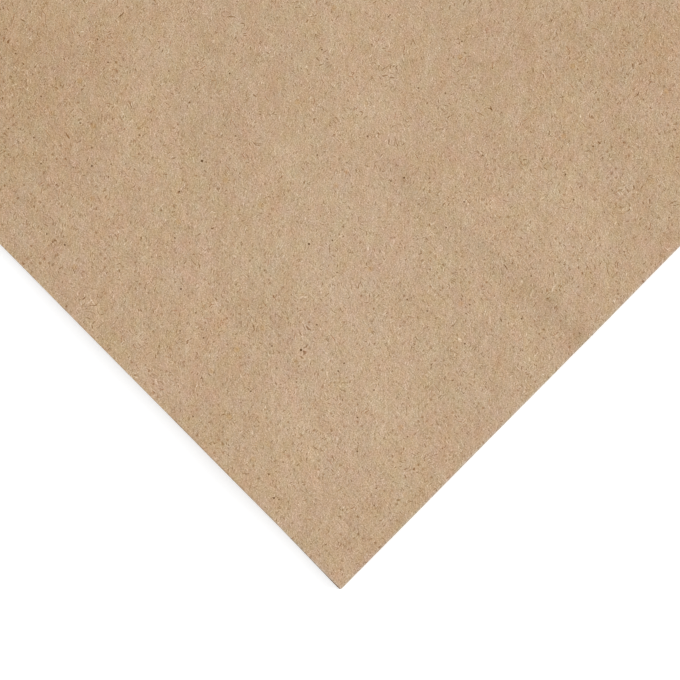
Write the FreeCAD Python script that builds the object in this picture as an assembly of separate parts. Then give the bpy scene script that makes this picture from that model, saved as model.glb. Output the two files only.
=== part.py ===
"""Square napkin of unbleached two-ply tissue, folded twice to a quarter of its size.

The napkin is one sheet, so the model is one solid. The paper's own section is drawn along
both folds: two leaves joined by a tight bend, then that pair bent over once more, which makes
four leaves in a stack. The napkin lies flat, +Z up, with the origin under the middle of its box.
The first fold is the edge on +Y and the second fold is the edge on +X. The other two edges are
cut edges, and they meet at the open corner on -X -Y.
"""

import FreeCAD
import Part

import math
import os

# Sheet as it is cut, opened out flat
SHEET_WIDTH = 330.0
SHEET_LENGTH = 330.0
PAPER_THICKNESS = 0.30
CORNER_RADIUS = 0.60

# Air left between the leaves
FIRST_FOLD_GAP = 0.12
SECOND_FOLD_GAP = 0.25

# How far the outer leaves reach past the inner ones, and the lower pair past the upper pair
LEAF_OVERHANG = 0.40
PAIR_OVERHANG = 0.32

# The cut edges on -X lean inwards from square, the lower pair's a little more than the upper's
UPPER_CUT_LEAN_DEG = 0.68
LOWER_CUT_LEAN_DEG = 1.36

X = FreeCAD.Vector(1, 0, 0)
Y = FreeCAD.Vector(0, 1, 0)
Z = FreeCAD.Vector(0, 0, 1)

# First fold: the bend's radii, and the leaves that use up the rest of the sheet's length
first_inner_radius = FIRST_FOLD_GAP / 2
first_outer_radius = first_inner_radius + PAPER_THICKNESS
first_neutral_radius = (first_inner_radius + first_outer_radius) / 2
outer_leaf = (SHEET_LENGTH - math.pi * first_neutral_radius + LEAF_OVERHANG) / 2
inner_leaf = outer_leaf - LEAF_OVERHANG
pair_height = 2 * first_outer_radius

# Second fold: the same for the pair of leaves, along the sheet's width
second_inner_radius = SECOND_FOLD_GAP / 2
second_outer_radius = second_inner_radius + pair_height
second_neutral_radius = (second_inner_radius + second_outer_radius) / 2
lower_pair = (SHEET_WIDTH - math.pi * second_neutral_radius + PAIR_OVERHANG) / 2
upper_pair = lower_pair - PAIR_OVERHANG
stack_height = 2 * second_outer_radius

# Places of both bends, with the folded napkin centred over the origin
first_bend_y = (outer_leaf - first_outer_radius) / 2
second_bend_x = (lower_pair - second_outer_radius) / 2
open_edge_y = first_bend_y - outer_leaf


def arc(y, z, radius):
    """Half circle in the section plane, bulging to +Y, from its lowest to its highest point."""
    return Part.Arc(
        FreeCAD.Vector(second_bend_x, y, z - radius),
        FreeCAD.Vector(second_bend_x, y + radius, z),
        FreeCAD.Vector(second_bend_x, y, z + radius),
    ).toShape()


def line(y0, z0, y1, z1):
    """Straight edge in the section plane."""
    start = FreeCAD.Vector(second_bend_x, y0, z0)
    end = FreeCAD.Vector(second_bend_x, y1, z1)
    return Part.makeLine(start, end)


def first_fold_section():
    """Section of the sheet across the first fold: the outer leaf below, the inner leaf above."""
    middle = pair_height / 2
    inner_low = middle - first_inner_radius
    inner_high = middle + first_inner_radius
    inner_end_y = first_bend_y - inner_leaf
    edges = [
        line(open_edge_y, 0, first_bend_y, 0),
        arc(first_bend_y, middle, first_outer_radius),
        line(first_bend_y, pair_height, inner_end_y, pair_height),
        line(inner_end_y, pair_height, inner_end_y, inner_high),
        line(inner_end_y, inner_high, first_bend_y, inner_high),
        arc(first_bend_y, middle, first_inner_radius),
        line(first_bend_y, inner_low, open_edge_y, inner_low),
        line(open_edge_y, inner_low, open_edge_y, 0),
    ]
    return Part.Face(Part.Wire(Part.sortEdges(edges)[0]))


def trimmed_pair(section, length, lean_deg):
    """Flat run of two leaves from the second bend, cut off along a line that leans from square."""
    lean = math.tan(math.radians(lean_deg))
    cut_x = second_bend_x - length
    far_x = cut_x - abs(lean) * SHEET_LENGTH - first_outer_radius
    run = section.extrude(X * (far_x - second_bend_x))
    past_y = first_bend_y + outer_leaf
    before_y = open_edge_y - outer_leaf
    corners = [
        FreeCAD.Vector(far_x - stack_height, before_y, 0),
        FreeCAD.Vector(cut_x + lean * (before_y - open_edge_y), before_y, 0),
        FreeCAD.Vector(cut_x + lean * (past_y - open_edge_y), past_y, 0),
        FreeCAD.Vector(far_x - stack_height, past_y, 0),
    ]
    waste = Part.Face(Part.makePolygon(corners + corners[:1])).extrude(Z * 2 * stack_height)
    waste.translate(Z * -stack_height / 2)
    return run.cut(waste)


def rounded_open_corner(sheet):
    """The four leaves' sharp corners at the open corner, worn slightly round."""
    corner_edges = []
    for edge in sheet.Edges:
        ends = [vertex.Point for vertex in edge.Vertexes]
        if len(ends) != 2:
            continue
        upright = abs(ends[0].x - ends[1].x) + abs(ends[0].y - ends[1].y) < PAPER_THICKNESS / 100
        if upright and ends[0].x < 0 and ends[0].y < 0:
            corner_edges.append(edge)
    print("open corner edges", len(corner_edges))
    return sheet.makeFillet(CORNER_RADIUS, corner_edges)


def napkin():
    """The whole folded sheet."""
    section = first_fold_section()
    axis_point = FreeCAD.Vector(second_bend_x, 0, stack_height / 2)
    bend = section.revolve(axis_point, Y, -180)
    top_section = section.copy()
    top_section.rotate(axis_point, Y, -180)
    lower = trimmed_pair(section, lower_pair, LOWER_CUT_LEAN_DEG)
    upper = trimmed_pair(top_section, upper_pair, UPPER_CUT_LEAN_DEG)
    sheet = lower.fuse([bend, upper]).removeSplitter()
    return rounded_open_corner(sheet.Solids[0])


os.makedirs("parts", exist_ok=True)
folded = napkin()
folded.exportStep("parts/napkin.step")

box = folded.BoundBox
print("solids", len(folded.Solids), "valid", folded.isValid(), "faces", len(folded.Faces))
print("volume mm3", round(folded.Volume, 1), "of", round(SHEET_WIDTH * SHEET_LENGTH * PAPER_THICKNESS, 1))
print("box", [round(v, 3) for v in (box.XMin, box.YMin, box.ZMin, box.XMax, box.YMax, box.ZMax)])
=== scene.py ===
# %% [markdown]
# # A folded paper napkin
# The object is one square sheet of unbleached two-ply tissue. A machine embosses a border of fine
# dots along the sheet's edges, folds the web once, cuts it across and folds it once more. This
# file makes the sheet in the same order: dots and fold lines are laid out while the sheet is flat,
# it is folded, cut, folded again, given its thickness and pressed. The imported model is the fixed
# frame: its box says where the folded sheet lies.

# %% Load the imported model
import math

import bpy
import numpy as np
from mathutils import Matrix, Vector, noise


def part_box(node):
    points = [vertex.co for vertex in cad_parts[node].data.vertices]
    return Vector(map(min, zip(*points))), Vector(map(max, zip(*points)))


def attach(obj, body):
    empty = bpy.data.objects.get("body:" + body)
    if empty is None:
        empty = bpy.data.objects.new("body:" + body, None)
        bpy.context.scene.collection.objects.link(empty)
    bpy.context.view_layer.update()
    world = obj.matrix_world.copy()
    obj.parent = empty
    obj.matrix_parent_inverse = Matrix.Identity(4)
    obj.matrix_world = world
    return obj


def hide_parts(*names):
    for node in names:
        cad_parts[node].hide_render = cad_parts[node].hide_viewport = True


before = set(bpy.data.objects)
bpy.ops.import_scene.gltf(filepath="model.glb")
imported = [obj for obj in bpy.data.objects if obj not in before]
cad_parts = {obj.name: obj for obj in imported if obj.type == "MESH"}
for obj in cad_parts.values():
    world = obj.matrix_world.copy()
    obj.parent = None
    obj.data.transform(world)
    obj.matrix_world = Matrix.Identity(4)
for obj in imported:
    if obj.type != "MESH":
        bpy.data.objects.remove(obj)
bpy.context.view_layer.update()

low, high = (Vector(corner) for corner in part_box("napkin"))
print("napkin's box in mm", [round(v * 1000, 2) for v in (*low, *high)])

# %% [markdown]
# ## Sizes of the paper
# Four leaves lie in the stack. The paper's thickness and the air between the leaves give the
# radius of each fold: a sheet that is folded once turns round a half circle through the middle of
# its thickness. What is left of the sheet's side after the half circle is its straight runs, and
# the frame's box says how long the outer ones are.

# %% Name the sizes
MM = 0.001
SHEET = 330 * MM
PAPER = 0.30 * MM
FIRST_GAP = 0.12 * MM
SECOND_GAP = 0.25 * MM

first_radius = (PAPER + FIRST_GAP) / 2
pair_height = 2 * PAPER + FIRST_GAP
second_radius = (pair_height + SECOND_GAP) / 2
stack_height = 2 * pair_height + SECOND_GAP

first_bend = high.y - (first_radius + PAPER / 2)
second_bend = high.x - (second_radius + pair_height / 2)
outer_leaf = first_bend - low.y
lower_pair = second_bend - low.x
upper_pair = SHEET - lower_pair - math.pi * second_radius
open_corner = Vector((second_bend - upper_pair, low.y, stack_height))
print("stack in mm", round(stack_height / MM, 2))
print("straight runs in mm", [round(length / MM, 2) for length in (outer_leaf, lower_pair, upper_pair)])

# %% [markdown]
# ## Places read from the photograph
# The photograph looks straight down on the open corner. A few creases and flecks of the paper are
# placed from it, so one function turns a place in the picture into a place on the napkin.
# The picture is 680 pixels wide, its scale comes from the dots' pitch, and the corner's two edges
# lie evenly on both sides of the picture's upright.

# %% Turn a place in the picture into a place on the napkin
PICTURE_SIDE = 680
CORNER_PIXEL = (341, 589.4)
PIXELS_PER_M = 4755
UPRIGHT = math.radians(44.66)
picture_up = Vector((math.cos(UPRIGHT), math.sin(UPRIGHT)))
picture_right = Vector((math.sin(UPRIGHT), -math.cos(UPRIGHT)))


def on_napkin(across, down):
    """Place on the napkin, in metres, of the picture's pixel (across, down)."""
    right = (across - CORNER_PIXEL[0]) / PIXELS_PER_M
    up = (CORNER_PIXEL[1] - down) / PIXELS_PER_M
    return open_corner.xy + picture_right * right + picture_up * up


middle = on_napkin(PICTURE_SIDE / 2, PICTURE_SIDE / 2)
print("the picture's middle in mm", [round(v / MM, 1) for v in middle])

# %% [markdown]
# ## The flat sheet
# A grid is the natural start for cloth and paper, because its faces run along the sheet and its UV
# map is already the flat sheet: u and v stay with the paper when it is folded, so the embossing
# and the fibres can be drawn in them. The folds need more rows than the grid has. A bisect lays
# each extra row exactly where a bend begins, passes and ends.

# %% Lay out the flat sheet
CELLS = 64
FIRST_STEPS = 6
SECOND_STEPS = 8

bpy.ops.object.select_all(action="DESELECT")
bpy.ops.mesh.primitive_grid_add(x_subdivisions=CELLS, y_subdivisions=CELLS, size=SHEET)
napkin = bpy.context.object
napkin.name = "folded_sheet"
napkin.data.name = "folded_sheet"
napkin.data.uv_layers[0].name = "flat_sheet"


def score(axis, start, arc, steps):
    """Adds the rows of a bend across the flat sheet, from its start to its end."""
    bpy.ops.object.mode_set(mode="EDIT")
    for step in range(steps + 1):
        place = Vector((0, 0, 0))
        normal = Vector((0, 0, 0))
        place[axis] = start + arc * step / steps
        normal[axis] = 1
        bpy.ops.mesh.select_all(action="SELECT")
        bpy.ops.mesh.bisect(plane_co=place, plane_no=normal)
    bpy.ops.object.mode_set(mode="OBJECT")


score(1, outer_leaf - SHEET / 2, math.pi * first_radius, FIRST_STEPS)
score(0, lower_pair - SHEET / 2, math.pi * second_radius, SECOND_STEPS)
print("flat sheet has", len(napkin.data.polygons), "faces")

# %% [markdown]
# ## The first fold and the knife
# Bending a flat sheet doesn't stretch it, so the fold is plain geometry: a point before the bend
# stays, a point in the bend turns about the bend's axis, and a point past it comes back the same
# distance. Simple Deform can bend too, but a few lines on the points say exactly where the axis
# is. The knife then cuts through both leaves at once, a little out of square, as on the real one.

# %% Fold once and cut both ends
UPPER_LEAN = math.tan(math.radians(0.68))
LOWER_LEAN = math.tan(math.radians(1.36))


def points_of(mesh):
    """The mesh's points, one row each."""
    flat = np.empty(len(mesh.vertices) * 3)
    mesh.vertices.foreach_get("co", flat)
    return flat.reshape(-1, 3)


def put_points(mesh, points):
    """Moves the mesh's points to the rows given."""
    mesh.vertices.foreach_set("co", points.ravel())
    mesh.update()


def fold(mesh, axis, start, radius, axis_height):
    """Bends the sheet over past start, through half a turn about a line at axis_height."""
    points = points_of(mesh)
    past = points[:, axis] - start
    lever = axis_height - points[:, 2]
    turn = np.clip(past / radius, 0, math.pi)
    straight = np.minimum(past, 0) - np.maximum(past - math.pi * radius, 0)
    points[:, axis] = start + straight + lever * np.sin(turn)
    points[:, 2] = axis_height - lever * np.cos(turn)
    put_points(mesh, points)


def slide(mesh, offset):
    """Moves the whole mesh by offset, in its points."""
    put_points(mesh, points_of(mesh) + np.array(offset))


def knife(place, normal):
    """Cuts the sheet along an upright plane and clears what lies on the normal's side."""
    bpy.ops.object.mode_set(mode="EDIT")
    bpy.ops.mesh.select_all(action="SELECT")
    bpy.ops.mesh.bisect(plane_co=place, plane_no=normal, clear_outer=True)
    bpy.ops.object.mode_set(mode="OBJECT")


slide(napkin.data, (SHEET / 2 + low.x, SHEET / 2 + low.y, PAPER / 2))
fold(napkin.data, 1, first_bend, first_radius, pair_height / 2)
knife((low.x, low.y, 0), (-1, LOWER_LEAN, 0))
knife((low.x + SHEET, low.y, 0), (1, UPPER_LEAN, 0))
fold(napkin.data, 0, second_bend, second_radius, stack_height / 2)
print("folded, height in mm", round(max(points_of(napkin.data)[:, 2]) / MM, 2))

# %% [markdown]
# ## The paper's thickness
# Solidify gives the folded surface its thickness to both sides, which closes the mesh and makes
# the cut edges. Bevel then takes the sharpness off those edges, as soft paper has none. The open
# corner is worn rounder than the rest, so its upright edges are bevelled first.

# %% Give the sheet its thickness
EDGE_ROUND = 0.08 * MM
CORNER_ROUND = 0.28 * MM


def apply_modifier(obj, kind, **settings):
    """Adds one modifier with the settings given, and applies it."""
    bpy.context.view_layer.objects.active = obj
    bpy.ops.object.modifier_add(type=kind)
    added = obj.modifiers[-1]
    for name, value in settings.items():
        setattr(added, name, value)
    bpy.ops.object.modifier_apply(modifier=added.name)


def choose(obj, kind, chosen):
    """Selects only the chosen faces or edges of obj, and leaves it in edit mode."""
    bpy.ops.object.mode_set(mode="EDIT")
    bpy.ops.mesh.select_mode(type=kind)
    bpy.ops.mesh.select_all(action="DESELECT")
    bpy.ops.object.mode_set(mode="OBJECT")
    members = obj.data.polygons if kind == "FACE" else obj.data.edges
    members.foreach_set("select", chosen)
    bpy.ops.object.mode_set(mode="EDIT")


apply_modifier(napkin, "SOLIDIFY", thickness=PAPER, offset=0)
print("with its thickness the sheet has", len(napkin.data.polygons), "faces")

# %% [markdown]
# ## Faces for the embossing
# Only the top leaf shows well, so only its outside gets small faces: the cells of its border are
# cut until each embossed dot has a point of its own and two more before the next dot, and the
# plain middle gets fewer. The other leaves stay coarse, which keeps the piece under 200,000
# triangles. A face that is smaller than a whole cell lies in a bend, or has been cut already, and
# is left alone.

# %% Cut small faces where the embossing goes
DOTS_ALONG = 256
DOT_PITCH = SHEET / DOTS_ALONG
POINTS_PER_DOT = 3
BORDER_CUTS = POINTS_PER_DOT * DOTS_ALONG // CELLS - 1
MIDDLE_CUTS = 3
BORDER_WIDTH = 38 * MM
WHOLE_CELL = (3 * DOT_PITCH) ** 2
FACING_UP = 0.99


def face_table(mesh):
    """Centres and normals of the mesh's faces, one row each."""
    centres = np.empty(len(mesh.polygons) * 3)
    normals = np.empty(len(mesh.polygons) * 3)
    mesh.polygons.foreach_get("center", centres)
    mesh.polygons.foreach_get("normal", normals)
    return centres.reshape(-1, 3), normals.reshape(-1, 3)


def from_open_edges(places):
    """Distance of each place from the nearer of the two cut edges."""
    return np.minimum(places[:, 0] - low.x, places[:, 1] - low.y)


def refine(obj, in_border, cuts):
    """Subdivides the top leaf's outside, either in its border or in its middle."""
    centres, normals = face_table(obj.data)
    top = (centres[:, 2] > stack_height - PAPER / 4) & (normals[:, 2] > FACING_UP)
    whole = np.array([face.area for face in obj.data.polygons]) > WHOLE_CELL
    near = from_open_edges(centres) < BORDER_WIDTH
    choose(obj, "FACE", top & whole & (near == in_border))
    bpy.ops.mesh.subdivide(number_cuts=cuts)
    bpy.ops.object.mode_set(mode="OBJECT")


refine(napkin, True, BORDER_CUTS)
refine(napkin, False, MIDDLE_CUTS)
print("refined, faces", len(napkin.data.polygons))

# %% [markdown]
# ## Soft edges
# The bevels come after the subdivision, so that their narrow faces don't spoil its even grid.

# %% Round the open corner and the cut edges
AROUND_CORNER = 1 * MM

edge_ends = np.empty(len(napkin.data.edges) * 2, int)
napkin.data.edges.foreach_get("vertices", edge_ends)
ends = points_of(napkin.data)[edge_ends.reshape(-1, 2)]
edge_rise = np.abs(ends[:, 0, 2] - ends[:, 1, 2])
edge_run = np.linalg.norm(ends[:, 0, :2] - ends[:, 1, :2], axis=1)
near_corner = np.linalg.norm(ends[:, 0, :2] - np.array(open_corner.xy), axis=1) < AROUND_CORNER
choose(napkin, "EDGE", (edge_rise > PAPER / 2) & (edge_run < PAPER / 10) & near_corner)
print("open corner edges", napkin.data.total_edge_sel)
bpy.ops.mesh.bevel(offset=CORNER_ROUND, segments=3, profile=0.5)
bpy.ops.mesh.select_all(action="DESELECT")
bpy.ops.mesh.edges_select_sharp(sharpness=math.radians(60))
bpy.ops.mesh.bevel(offset=EDGE_ROUND, segments=1)
bpy.ops.object.mode_set(mode="OBJECT")
napkin.data.calc_loop_triangles()
print("with soft edges, triangles", len(napkin.data.loop_triangles))

# %% [markdown]
# ## Creases, swells and pressed dots
# A real napkin is never quite flat. Where the stack rises, only the air between its leaves grows,
# so each leaf keeps its thickness, and the underside stays on the table. The creases are placed
# from the photograph: each is a line of places in the picture with a rise in millimetres and a
# width, in pixels, on the left and right of someone who walks along it. A crease starts at part of
# its rise and grows on its way. Broad seeded waves and small cockles do the rest, and the leaves
# stand up a little beside both folds.

# %% Say where the paper rises
CREASES = {
    "long crease": (((403, 166), (435, 199), (483, 232), (519, 264), (553, 296), (611, 356)), 0.52, 60, 15),
    "ridge below the crease": (((360, 205), (440, 275), (510, 345), (560, 400)), 0.20, 22, 60),
    "upper left ridge": (((150, 10), (128, 80), (100, 170), (88, 240)), 0.26, 26, 50),
    "short valley": (((325, 122), (300, 160), (275, 182), (245, 196)), -0.14, 11, 11),
    "middle swell": (((330, 10), (300, 110), (285, 220), (285, 330), (225, 450)), 0.34, 50, 70),
    "right swell": (((470, 60), (520, 140), (545, 200)), 0.11, 40, 40),
}
CREASE_START = 0.4
CREASE_GROWTH = 1.2
FAR_AWAY = 1e9
WAVE_SEED = 41
WAVE_COUNT = 18
WAVE_SLOPE = 0.006
SHORTEST_WAVE_MM = 14
LONGEST_WAVE_MM = 60
COCKLE_SIZE = 4 * MM
COCKLE_RISE = 0.15 * MM
COCKLE_SLICE = 3 * MM
FOLD_SWELL = 0.16 * MM
FOLD_SWELL_WIDTH = 24 * MM
WHOLE_SWELL = 0.08 * MM
DEEPEST = -0.3 * MM
AIR = 2 * FIRST_GAP + SECOND_GAP
PAIR_AIR = FIRST_GAP / AIR


def crease_rise(x, y, places, rise, left, right):
    """Rise in metres, at each point, of one crease that runs through the places of the picture."""
    path = [on_napkin(*place) for place in places]
    nearest = np.full(x.shape, FAR_AWAY)
    height = np.zeros(x.shape)
    for index, (start, end) in enumerate(zip(path, path[1:])):
        step = end - start
        along = ((x - start.x) * step.x + (y - start.y) * step.y) / step.length_squared
        held = np.clip(along, 0, 1)
        away_x = x - start.x - held * step.x
        away_y = y - start.y - held * step.y
        distance = np.hypot(away_x, away_y)
        side = (step.x * away_y - step.y * away_x) / (step.length * np.maximum(distance, MM / 100))
        width = (right + (left - right) * (side + 1) / 2) / PIXELS_PER_M
        share = (index + held) / (len(path) - 1)
        swell = np.sin(np.clip(CREASE_START + share * CREASE_GROWTH, 0, 1) * math.pi / 2)
        here = rise * MM * swell * np.exp(-((distance / width) ** 2))
        height = np.where(distance < nearest, here, height)
        nearest = np.minimum(nearest, distance)
    return height


def rise_at(x, y):
    """How far the top of the stack rises over its modelled height at each point, in metres."""
    total = WHOLE_SWELL + sum(crease_rise(x, y, *crease) for crease in CREASES.values())
    rng = np.random.default_rng(WAVE_SEED)
    for _ in range(WAVE_COUNT):
        heading = rng.uniform(0, math.pi)
        length = rng.uniform(SHORTEST_WAVE_MM, LONGEST_WAVE_MM) * MM
        phase = rng.uniform(0, 2 * math.pi)
        amplitude = WAVE_SLOPE * length / (2 * math.pi)
        distance = x * math.cos(heading) + y * math.sin(heading)
        total = total + amplitude * np.sin(2 * math.pi * distance / length + phase)
    cockle = [noise.noise(Vector((px, py, COCKLE_SLICE)) / COCKLE_SIZE) for px, py in zip(x, y)]
    total = total + COCKLE_RISE * np.array(cockle)
    to_fold = np.minimum(high.x - x, high.y - y)
    total = total + FOLD_SWELL * np.sin(np.clip(to_fold / FOLD_SWELL_WIDTH, 0, 1) * math.pi)
    return np.maximum(total, DEEPEST)


# %% [markdown]
# The rise is shared out over the stack's height: a point on a leaf's underside and the point above
# it on its top rise alike, and only the points on both sides of an air gap rise differently.

# %% Lift the leaves
points = points_of(napkin.data)
levels = np.cumsum([0, PAPER, FIRST_GAP, PAPER, SECOND_GAP, PAPER, FIRST_GAP, PAPER])
shares = [0, 0, PAIR_AIR, PAIR_AIR, 1 - PAIR_AIR, 1 - PAIR_AIR, 1, 1]
rise = rise_at(points[:, 0], points[:, 1])
is_top = points[:, 2] > stack_height - EDGE_ROUND / 10
points[:, 2] += rise * np.interp(points[:, 2], levels, shares)
print("rise in mm", round(rise.min() / MM, 3), round(rise.max() / MM, 3))

# %% [markdown]
# The dots are pressed into the top leaf where its faces are small enough for them, and fade where
# the border ends. How hard each one was pressed varies a lot from dot to dot. A small rule of its
# row and column decides it, so that the mesh here and the material later press the same dots hard.
# Its factors and limits have no common pattern, and each step of it stays a whole number, which
# both sides work out exactly.

# %% Press the dots into the top leaf
DOT_DEPTH = 0.05 * MM
DOT_RADIUS = 0.50 * MM
DOT_OFFSET = 1 / 3
LIGHTEST_PRESS = 0.35
BORDER_FADE = {0: 1.0, 32: 1.0, 45: 0.55, 64: 0.0}
PRESS_LEVELS = 251
DOT_BOTTOM = 0.95


def shuffled(count, factor, extra, limit):
    """A whole number below the limit that jumps about as the count goes up."""
    return (count * factor + extra) * count % limit


def press(row, column):
    """How hard the dot at this row and column was pressed, 0 to 1, as numbers or as signals."""
    both = shuffled(row, 19, 5, 277) + shuffled(column, 34, 1, 289)
    return shuffled(both, 7, 31, PRESS_LEVELS) / PRESS_LEVELS


flat_places = np.empty((len(points), 2))
corner_points = np.empty(len(napkin.data.loops), int)
corner_places = np.empty(len(napkin.data.loops) * 2)
napkin.data.loops.foreach_get("vertex_index", corner_points)
napkin.data.uv_layers["flat_sheet"].data.foreach_get("uv", corner_places)
flat_places[corner_points] = corner_places.reshape(-1, 2)

across_mm = (1 - flat_places[:, 0]) * SHEET / MM
along_mm = flat_places[:, 1] * SHEET / MM
dot_across = across_mm / (DOT_PITCH / MM) - DOT_OFFSET + 0.5
dot_along = along_mm / (DOT_PITCH / MM) - DOT_OFFSET + 0.5
from_dot = np.hypot(dot_across % 1 - 0.5, dot_along % 1 - 0.5) * DOT_PITCH
pressed = press(np.floor(dot_across), np.floor(dot_along))
border = np.minimum(across_mm, along_mm)
fade = np.interp(border, list(BORDER_FADE), list(BORDER_FADE.values()))
pit = (1 - np.clip(from_dot / DOT_RADIUS, 0, 1) ** 2) ** 2
pressable = is_top & (border < BORDER_WIDTH / MM)
depth = DOT_DEPTH * fade * (LIGHTEST_PRESS + (1 - LIGHTEST_PRESS) * pressed)
points[:, 2] -= np.where(pressable, depth * pit, 0)
put_points(napkin.data, points)
print("dots pressed", np.count_nonzero(pressable & (pit > DOT_BOTTOM)))

# %% [markdown]
# The sheet is one finished piece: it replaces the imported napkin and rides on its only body.

# %% Smooth the sheet and put it in its place
bpy.ops.object.select_all(action="DESELECT")
napkin.select_set(True)
bpy.context.view_layer.objects.active = napkin
bpy.ops.object.shade_smooth_by_angle(angle=math.radians(40))
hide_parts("napkin")
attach(napkin, "root")
print("height in mm", round(napkin.dimensions.z / MM, 2))

# %% [markdown]
# ## A small language for the material
# Unbleached tissue is a felt of fibres of many browns. Everything that varies in it is computed
# from the flat sheet's own coordinates. A signal is one socket of the material's node tree, and
# plain arithmetic on signals adds the nodes that compute it.

# %% Signals


def kind_of(value):
    """Whether a signal or a plain value is a number, a vector or a colour."""
    if isinstance(value, Signal):
        return {"VALUE": "number", "VECTOR": "vector", "RGBA": "colour"}[value.socket.type]
    return "number" if isinstance(value, (int, float)) else "vector"


class Signal:
    """One value inside a material."""

    def __init__(self, tree, socket):
        self.tree = tree
        self.socket = socket

    def make(self, kind, feeds, output=0, **settings):
        """Adds a node of any kind, feeds its inputs and gives back one of its outputs."""
        node = self.tree.nodes.new(kind)
        for name, value in settings.items():
            setattr(node, name, value)
        for key, value in feeds.items():
            if isinstance(value, Signal):
                self.tree.links.new(value.socket, node.inputs[key])
            else:
                node.inputs[key].default_value = value
        return None if output is None else Signal(self.tree, node.outputs[output])

    def number(self, operation, *others):
        """A Math node that starts from this signal."""
        return self.make("ShaderNodeMath", dict(enumerate((self, *others))), operation=operation)

    def vector(self, operation, other=None, output=0):
        """A Vector Math node that starts from this signal."""
        feeds = {0: self} if other is None else {0: self, 1: other}
        return self.make("ShaderNodeVectorMath", feeds, output, operation=operation)

    def pair(self, other, operation, swapped=False):
        """Arithmetic between this signal and another signal or a plain value."""
        kinds = {kind_of(self), kind_of(other)}
        values = (other, self) if swapped else (self, other)
        if kinds == {"number"}:
            return self.make("ShaderNodeMath", dict(enumerate(values)), operation=operation)
        if "colour" in kinds:
            values = [(*v, 1) if isinstance(v, tuple) else v for v in values]
            values = [(v, v, v, 1) if isinstance(v, (int, float)) else v for v in values]
            feeds = {"Factor": 1.0, 6: values[0], 7: values[1]}
            return self.make("ShaderNodeMix", feeds, 2, data_type="RGBA", blend_type=operation)
        values = [(v, v, v) if isinstance(v, (int, float)) else v for v in values]
        return self.make("ShaderNodeVectorMath", dict(enumerate(values)), operation=operation)

    def __add__(self, other):
        return self.pair(other, "ADD")

    def __radd__(self, other):
        return self.pair(other, "ADD", swapped=True)

    def __sub__(self, other):
        return self.pair(other, "SUBTRACT")

    def __rsub__(self, other):
        return self.pair(other, "SUBTRACT", swapped=True)

    def __mul__(self, other):
        return self.pair(other, "MULTIPLY")

    def __rmul__(self, other):
        return self.pair(other, "MULTIPLY", swapped=True)

    def __truediv__(self, other):
        return self.pair(other, "DIVIDE")

    def __rtruediv__(self, other):
        return self.pair(other, "DIVIDE", swapped=True)

    def __mod__(self, other):
        return self.number("FLOORED_MODULO", other)

    def __pow__(self, other):
        return self.number("POWER", other)

    def ramp(self, start, end, first=0.0, last=1.0):
        """Runs smoothly from first to last while this number goes from start to end."""
        feeds = {"From Min": start, "From Max": end, "To Min": first, "To Max": last, "Value": self}
        return self.make("ShaderNodeMapRange", feeds, interpolation_type="SMOOTHSTEP")

    def cloud(self, size, detail=2.0, roughness=0.5, shift=0.0):
        """Soft noise around 0 with features of this size, in the units of this place."""
        moved = self + (shift, shift * 1.7, 0.0)
        feeds = {"Vector": moved, "Scale": 1 / size, "Detail": detail, "Roughness": roughness}
        return self.make("ShaderNodeTexNoise", feeds, noise_dimensions="2D") - 0.5

    def turned(self, degrees):
        """This place turned about the paper's upright."""
        feeds = {"Vector": self, "Angle": math.radians(degrees)}
        return self.make("ShaderNodeVectorRotate", feeds, rotation_type="Z_AXIS")

    def part(self, name):
        """One number out of a vector."""
        return self.make("ShaderNodeSeparateXYZ", {"Vector": self}, "XYZ".index(name))

    def scattered(self, name):
        """Distance to the nearest of scattered points, one to a unit square, and its own chance."""
        feeds = {"Vector": self, "Scale": 1.0, "Randomness": 1.0}
        distance = self.make("ShaderNodeTexVoronoi", feeds, "Distance", voronoi_dimensions="2D")
        colour = Signal(self.tree, distance.socket.node.outputs["Color"])
        return distance, colour.part(name)


def joined(x, y):
    """Two numbers as a place on the flat sheet."""
    return x.make("ShaderNodeCombineXYZ", {"X": x, "Y": y})


# %% [markdown]
# ## Unbleached tissue
# The tree is built in the order in which the paper is made. The pulp gives uneven tone and single
# fibres, paler and darker than the rest, and a few brown flecks of bark. The embossing adds the
# dots, which are hollow; their darker middles are partly fibre that the roll pressed through and
# partly painted shade in the hollows. Painted light and shade also lie on the broad slopes and on
# the lower pair's edge. Tones are in steps of 0 to 255, as the eye sees them, and are turned into
# light at the end.

# %% Start the material
MATT = 0.95
SHEEN = 0.15

tissue = bpy.data.materials.new("unbleached_tissue")
tissue.use_nodes = True
tree = tissue.node_tree
tree.nodes.clear()
output = tree.nodes.new("ShaderNodeOutputMaterial")
surface = tree.nodes.new("ShaderNodeBsdfPrincipled")
surface.inputs["Roughness"].default_value = MATT
surface.inputs["Specular IOR Level"].default_value = SHEEN
tree.links.new(surface.outputs["BSDF"], output.inputs["Surface"])
sheet_uv = tree.nodes.new("ShaderNodeUVMap")
sheet_uv.uv_map = "flat_sheet"
uv = Signal(tree, sheet_uv.outputs["UV"])
print("the texture lies on", sheet_uv.uv_map)

# %% [markdown]
# Paper is made and embossed by the millimetre, so the texture's sizes are written in millimetres
# too. Both counts start at the open corner of the top leaf, where the border begins.

# %% Measure places on the flat sheet in millimetres
across = (1 - uv.part("X")) * (SHEET / MM)
along = uv.part("Y") * (SHEET / MM)
place = joined(across, along)
far_across = SHEET / MM - across
far_along = SHEET / MM - along
near_edge = across.number("MINIMUM", far_across).number("MINIMUM", along.number("MINIMUM", far_along))
print("the texture is", round(SHEET / MM), "mm wide")

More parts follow.
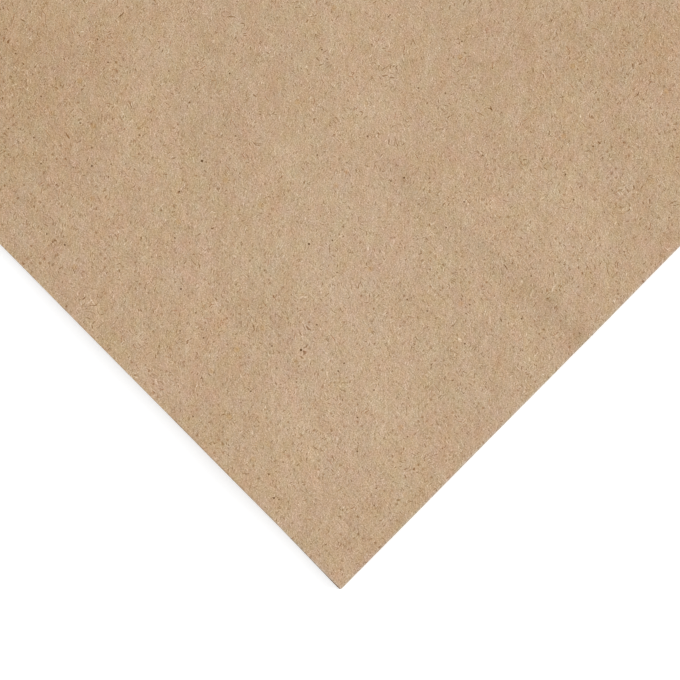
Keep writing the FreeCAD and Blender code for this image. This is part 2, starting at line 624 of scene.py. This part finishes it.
# %% [markdown]
# Fibres are drawn as strokes: in a space that is squeezed along one direction, the round cells of
# a Voronoi texture turn into long ones, and a narrow core in the middle of each cell becomes a
# stroke, with a faint edge of the opposite tone around it. Each cell's own random colour says
# whether its fibre shows. The dark and the pale fibres are drawn in places that noise has pushed
# about, which bends them, and a few long dark hairs lie straight between them. Each kind has the
# length and width of its cells, in millimetres, and the share of the cells that show a fibre. It is
# drawn in four directions, in degrees, and more of these run up the picture than across it.

# %% Draw the fibres
CORE = 0.07
CORE_END = 0.17
EDGE_END = 0.44
EDGE_STRENGTH = 0.15
WIDE_BEND = 12.0
WIDE_PUSH = 7.0
CLOSE_BEND = 2.6
CLOSE_PUSH = 0.8
DARK_KIND = (3.2, 0.60, 0.55)
PALE_KIND = (3.8, 0.56, 0.65)
HAIR_KIND = (7.0, 0.60, 0.025)
DARK_DIRECTIONS = (5, 85, 120, 150)
PALE_DIRECTIONS = (0, 105, 135, 165)
HAIR_DIRECTIONS = (10, 55, 100, 145)


def wander(size, shift, other_shift):
    """Soft noise in both directions of the sheet."""
    return joined(place.cloud(size, 1.0, 0.5, shift), place.cloud(size, 1.0, 0.5, other_shift))


def bent(shift):
    """The sheet's places, pushed about so that strokes drawn in them are bent."""
    wide = wander(WIDE_BEND, shift, shift + 40.0) * WIDE_PUSH
    close = wander(CLOSE_BEND, shift + 7.0, shift + 60.0) * CLOSE_PUSH
    return place + wide + close


def fibres(places, direction, length, width, kept, shift):
    """Strength of the fibres along one direction: up to 1 on a fibre, and just below 0 beside it."""
    squeezed = places.turned(direction) * (1 / length, 1 / width, 1.0) + (shift, shift * 0.3, 0.0)
    distance, chance = squeezed.scattered("X")
    core = distance.ramp(CORE, CORE_END, 1 + EDGE_STRENGTH, 0.0)
    # Beside a pale fibre this faint dark edge is painted shadow of the fibre.
    edge = distance.ramp(CORE_END, EDGE_END, EDGE_STRENGTH, 0.0)
    return (core - edge) * chance.ramp(1 - kept, 1.0)


under, over = bent(3.1), bent(33.7)
dark_fibres = sum(fibres(under, angle, *DARK_KIND, 3.1 + angle) for angle in DARK_DIRECTIONS)
pale_fibres = sum(fibres(over, angle, *PALE_KIND, 60.7 + angle) for angle in PALE_DIRECTIONS)
hairs = sum(fibres(place, angle, *HAIR_KIND, 23.3 + angle) for angle in HAIR_DIRECTIONS)
print("nodes down to the fibres", len(tree.nodes))

# %% [markdown]
# The flecks stand out most in the photograph, so the largest are placed one by one, each with its
# radius in millimetres, and the rest are left to chance over the whole sheet.

# %% Place the flecks
FLECKS = {
    (202, 161): 0.26,
    (301, 350): 0.27,
    (309, 244): 0.23,
    (274, 498): 0.20,
    (65, 245): 0.20,
    (181, 289): 0.19,
    (464, 202): 0.16,
    (470, 88): 0.15,
    (322, 50): 0.15,
    (272, 346): 0.16,
    (92, 166): 0.20,
    (47, 234): 0.17,
    (175, 238): 0.16,
    (374, 390): 0.17,
    (427, 311): 0.16,
    (542, 159): 0.16,
    (404, 178): 0.20,
}
SOLID_SHARE = 0.5
SOFT_SHARE = 1.25


def away_from(pixel):
    """Distance in millimetres of each place on the sheet from the picture's pixel."""
    spot = (on_napkin(*pixel) - open_corner.xy) / MM
    return place.vector("DISTANCE", (spot.x, spot.y, 0.0), "Value")


def chance_flecks(size, radius, kept, shift):
    """Small flecks strewn over the sheet, about one to each cell of this size that keeps its own."""
    strewn = (place + (shift, shift, 0.0)) * (1 / size)
    distance, chance = strewn.scattered("Y")
    return distance.ramp(radius * 0.4 / size, radius / size, 1.0, 0.0) * chance.ramp(1 - kept, 1.0)


fleck = chance_flecks(5.0, 0.24, 0.34, 17.0) * 0.75
for pixel, radius in FLECKS.items():
    placed = away_from(pixel).ramp(radius * SOLID_SHARE, radius * SOFT_SHARE, 1.0, 0.0)
    fleck = fleck.number("MAXIMUM", placed)
print("flecks placed by eye", len(FLECKS))

# %% [markdown]
# The embossing roll prints a square grid of dots, which follows both directions of the sheet. Two
# counters, the row and the column, give each dot its place and, by the rule above, its strength,
# so the dots drawn here are the ones that the mesh has. They fade where the border ends, and are
# weaker where the roll made less contact.

# %% Lay out the dots
BAND_START = 32
BAND_END = 68
DOT_MIDDLE = 0.08
DOT_RIM = 0.42
PRESS_CONTRAST = 5.0

pitch = DOT_PITCH / MM
dot_x = across / pitch + (0.5 - DOT_OFFSET)
dot_y = along / pitch + (0.5 - DOT_OFFSET)
row = dot_x.number("FLOOR")
column = dot_y.number("FLOOR")
hard = press(row, column)
from_middle = joined(dot_x - row - 0.5, dot_y - column - 0.5).vector("LENGTH", None, "Value") * pitch
band = near_edge.ramp(BAND_START, BAND_END, 1.0, 0.0)
contact = place.cloud(9.0, 2.0, 0.6, 5.0).ramp(-0.16, 0.16, 0.3, 1.0)
dot_core = from_middle.ramp(DOT_MIDDLE, DOT_RIM, 1.0, 0.0) * band
hard_dot = dot_core * hard**PRESS_CONTRAST * contact
print("dots are", round(pitch, 3), "mm apart")

# %% [markdown]
# Broad patches are placed from the photograph, like the creases: each has its place and radius in
# pixels and the steps by which it is paler. Most of them are painted light and shade, paler where
# the slopes of the creases and swells face the lamp and darker where they turn from it, on top of
# the mesh's own relief; the rest is the paper's uneven tone. Streaks and grain are soft noise, long
# along the fibres and very fine. The lower pair's edge, which peeps out on -X, is darkened with
# painted shade, as it lies in the shade of the upper pair. In each cloud the first number is its
# size in millimetres, and the number behind it is its strength.

# %% Mix the tone and the painted light and shade
PATCH_REACH = 1.5
PATCHES = {
    "paler middle": ((350, 270), 130, 4.5),
    "paler low": ((350, 380), 90, 1.5),
    "paler top": ((380, 110), 30, 3.5),
    "paler wedge": ((282, 142), 22, 3.0),
    "paler corner": ((330, 450), 95, 3.5),
    "painted light on the crease's flank": ((540, 200), 50, 2.5),
    "painted light on the crease's flank's end": ((575, 255), 45, 3.0),
    "paler below the crease": ((538, 352), 32, 4.0),
    "paler right edge": ((490, 400), 50, 3.0),
    "darker upper left": ((20, 70), 90, -7.5),
    "darker left side": ((20, 170), 60, -2.5),
    "darker top left": ((110, 50), 36, -4.0),
    "darker top right": ((645, 40), 50, -4.5),
    "darker top": ((560, 50), 40, -2.5),
    "darker left": ((275, 310), 40, -3.0),
    "dark spot": ((404, 179), 6, -8.0),
}
streaked = place.turned(60) * (1.35, 0.62, 1.0)
broad = place.cloud(16.0, 3.0, 0.6, 2.0) * 2.8
# The patches' painted light and painted shade go into the broad tone.
for pixel, radius, step in PATCHES.values():
    reach = radius / PIXELS_PER_M / MM * PATCH_REACH
    broad = broad + away_from(pixel).ramp(0.0, reach, step, 0.0)
streaks = streaked.cloud(1.7, 2.0, 0.5, 8.0) * 18.0
grain = place.cloud(0.24, 0.0, 0.5, 4.0) * 52.0
# Painted shade along the lower pair's cut edge on -X, where the upper pair shades it.
shaded_edge = far_across.ramp(0.15, 0.5, 55.0, 0.0)
fine = streaks + grain - dark_fibres * 44.0 + pale_fibres * 26.5 - shaded_edge
# Darker dot middles: painted shade in the hollows, and fibre that the roll pressed through.
pit_shade_and_press = dot_core * 0.5 + hard_dot * 40.0
print("patches placed by eye", len(PATCHES))

# %% [markdown]
# The mix of pulps isn't of one colour, so faint rosy and warm clouds, brownish smudges and a few
# bright glints lie over it, and the paper pales towards its cut edges.

# %% Mix what has a colour of its own
uneven = streaked.cloud(4.6, 2.0, 0.6, 71.0)
rosy = place.cloud(3.0, 1.0, 0.5, 31.0) * 5.4 + place.cloud(14.0, 1.0, 0.5, 53.0) * 3.0
warm = place.cloud(3.4, 1.0, 0.5, 47.0) * 3.9 + place.cloud(15.0, 1.0, 0.5, 67.0) * 2.5
pale_rim = near_edge.ramp(0.0, 0.8, 1.0, 0.0)
smudge = chance_flecks(9.0, 0.80, 0.5, 29.0)
glint = chance_flecks(4.2, 0.17, 0.09, 41.0)
print("nodes down to the clouds", len(tree.nodes))

# %% [markdown]
# What is seen is the paper's plain tone and all these changes to it. Each is one number that is
# shared out over red, green and blue in its own way: broad tones move blue most, and fine ones
# are nearly grey. The flecks cover it, and a Gamma node turns what the eye sees into light.

# %% Colour the paper
PAPER_TONE = (192.5, 163.3, 132.4)
BARK_TONE = (84.0, 56.0, 26.0)
WHITE_TONE = 255.0
EYE_GAMMA = 2.2
BROAD_SHARES = (0.80, 1.03, 1.26)
FINE_SHARES = (0.93, 1.02, 1.08)
PIT_SHADE_AND_PRESS_SHARES = (0.86, 1.03, 1.10)
UNEVEN_STEPS = (7.2, 14.6, 22.2)
HAIR_STEPS = (30.0, 48.0, 52.0)
ROSY_SHARES = (1.0, -0.7, 1.0)
WARM_SHARES = (1.0, 0.0, -1.0)
RIM_STEPS = (1.0, 9.0, 16.0)
SMUDGE_STEPS = (3.0, 8.0, 15.0)
GLINT_STEPS = (17.0, 19.0, 21.0)

seen = PAPER_TONE + broad * BROAD_SHARES + fine * FINE_SHARES - pit_shade_and_press * PIT_SHADE_AND_PRESS_SHARES
seen = seen + uneven * UNEVEN_STEPS + rosy * ROSY_SHARES + warm * WARM_SHARES
seen = seen + pale_rim * RIM_STEPS + glint * GLINT_STEPS - smudge * SMUDGE_STEPS - hairs * HAIR_STEPS
feeds = {"Factor": fleck, 4: seen, 5: BARK_TONE}
covered = seen.make("ShaderNodeMix", feeds, 1, data_type="VECTOR") / WHITE_TONE
light = covered.make("ShaderNodeGamma", {"Color": covered, "Gamma": EYE_GAMMA})
tree.links.new(light.socket, surface.inputs["Base Color"])
print("paper's tone is", PAPER_TONE)

# %% [markdown]
# The finest relief is bump: the fibres stand up, the felt between them is uneven, and each dot
# is a little crisper than the mesh can make it. Heights are in millimetres.

# %% Raise the fibres and sink the dots
PALE_RISE = 0.030
DARK_RISE = 0.020
DOT_SINK = 0.035
LIGHTEST_SINK = 0.3

felt = place.cloud(1.3, 3.0, 0.6, 12.0) * 0.20 + place.cloud(0.42, 1.0, 0.5, 19.0) * 0.10
sunk = dot_core * (hard * (1 - LIGHTEST_SINK) + LIGHTEST_SINK) * DOT_SINK
height = felt + pale_fibres * PALE_RISE + dark_fibres * DARK_RISE - sunk
bump = height.make("ShaderNodeBump", {"Height": height, "Distance": MM, "Strength": 1.0}, "Normal")
tree.links.new(bump.socket, surface.inputs["Normal"])
napkin.data.materials.clear()
napkin.data.materials.append(tissue)
print("material has", len(tree.nodes), "nodes")

# %% [markdown]
# ## Studio
# A large white table under a broad soft lamp from the picture's right, with an even white sky for
# the rest, so that a colour comes out about as it is written. The table glows a little, but only
# where the camera sees it, by itself, in a mirror or through glass. That brings it up to white and
# keeps the napkin's shadow.

# %% Set the table
TABLE_SIDE = 6
TABLE_TONE = 0.72
TABLE_GLOW = 0.46

bpy.ops.mesh.primitive_plane_add(size=TABLE_SIDE)
floor = bpy.context.object
floor.name = "floor"
table_top = bpy.data.materials.new("white_table")
table_top.use_nodes = True
table_tree = table_top.node_tree
table_surface = table_tree.nodes["Principled BSDF"]
table_surface.inputs["Base Color"].default_value = (TABLE_TONE, TABLE_TONE, TABLE_TONE, 1)
table_surface.inputs["Roughness"].default_value = 1.0
table_surface.inputs["Specular IOR Level"].default_value = 0.0
table_surface.inputs["Emission Strength"].default_value = 1.0


def seen_directly(node_tree):
    """1 for what the camera sees by itself, in a mirror or through glass, and 0 for plain lighting."""
    path = node_tree.nodes.new("ShaderNodeLightPath")
    camera_ray, glossy_ray, glass_ray = (
        Signal(node_tree, path.outputs[name])
        for name in ("Is Camera Ray", "Is Glossy Ray", "Is Transmission Ray")
    )
    return camera_ray.number("MAXIMUM", glossy_ray).number("MAXIMUM", glass_ray)


glow = seen_directly(table_tree) * TABLE_GLOW
table_tree.links.new(glow.socket, table_surface.inputs["Emission Color"])
floor.data.materials.append(table_top)
print("table is", floor.dimensions.x, "m wide")

# %% [markdown]
# The sky gives most of the light, and a broad low sun from the right gives the rest, so that the
# creases show. Both together light a flat sheet with a strength of 1.

# %% Set the sky and the lamp
KEY_SHARE = 0.20
KEY_HEIGHT = math.radians(18)
KEY_TURN = math.radians(12)
KEY_WIDTH = math.radians(30)
KEY_DISTANCE = 2

sky = bpy.data.worlds.new("white_sky")
bpy.context.scene.world = sky
sky.use_nodes = True
sky_tree = sky.node_tree
sky_tree.nodes.clear()
direct = seen_directly(sky_tree)
white = (1.0, 1.0, 1.0, 1.0)
lighting = direct.make("ShaderNodeBackground", {"Color": white, "Strength": 1 - KEY_SHARE})
backdrop = direct.make("ShaderNodeBackground", {"Color": white, "Strength": 1.0})
either = direct.make("ShaderNodeMixShader", {0: direct, 1: lighting, 2: backdrop})
either.make("ShaderNodeOutputWorld", {"Surface": either}, None)

toward = picture_right * math.cos(KEY_TURN) + picture_up * math.sin(KEY_TURN)
to_key = Vector((*(toward * math.cos(KEY_HEIGHT)), math.sin(KEY_HEIGHT)))
bpy.ops.object.light_add(type="SUN", location=to_key * KEY_DISTANCE)
key = bpy.context.object
key.name = "soft_key"
key.rotation_euler = to_key.to_track_quat("Z", "Y").to_euler()
key.data.angle = KEY_WIDTH
key.data.energy = KEY_SHARE * math.pi / math.sin(KEY_HEIGHT)
print("lamp's energy", round(key.data.energy, 2))

# %% [markdown]
# ## Camera
# Straight above, turned so that the open corner points down in the picture.

# %% Set the camera
LENS = 120
SENSOR = 36
NEAREST_SEEN = 0.01

width_seen = PICTURE_SIDE / PIXELS_PER_M
bpy.ops.object.camera_add(location=(*middle, stack_height + width_seen * LENS / SENSOR))
camera = bpy.context.object
camera.name = "overhead"
camera.data.lens = LENS
camera.data.sensor_width = SENSOR
camera.rotation_euler = (0, 0, UPRIGHT - math.pi / 2)
camera.data.clip_start = NEAREST_SEEN
bpy.context.scene.camera = camera
bpy.context.scene.view_settings.view_transform = "Standard"
print("camera is", round(camera.location.z, 3), "m above the table")
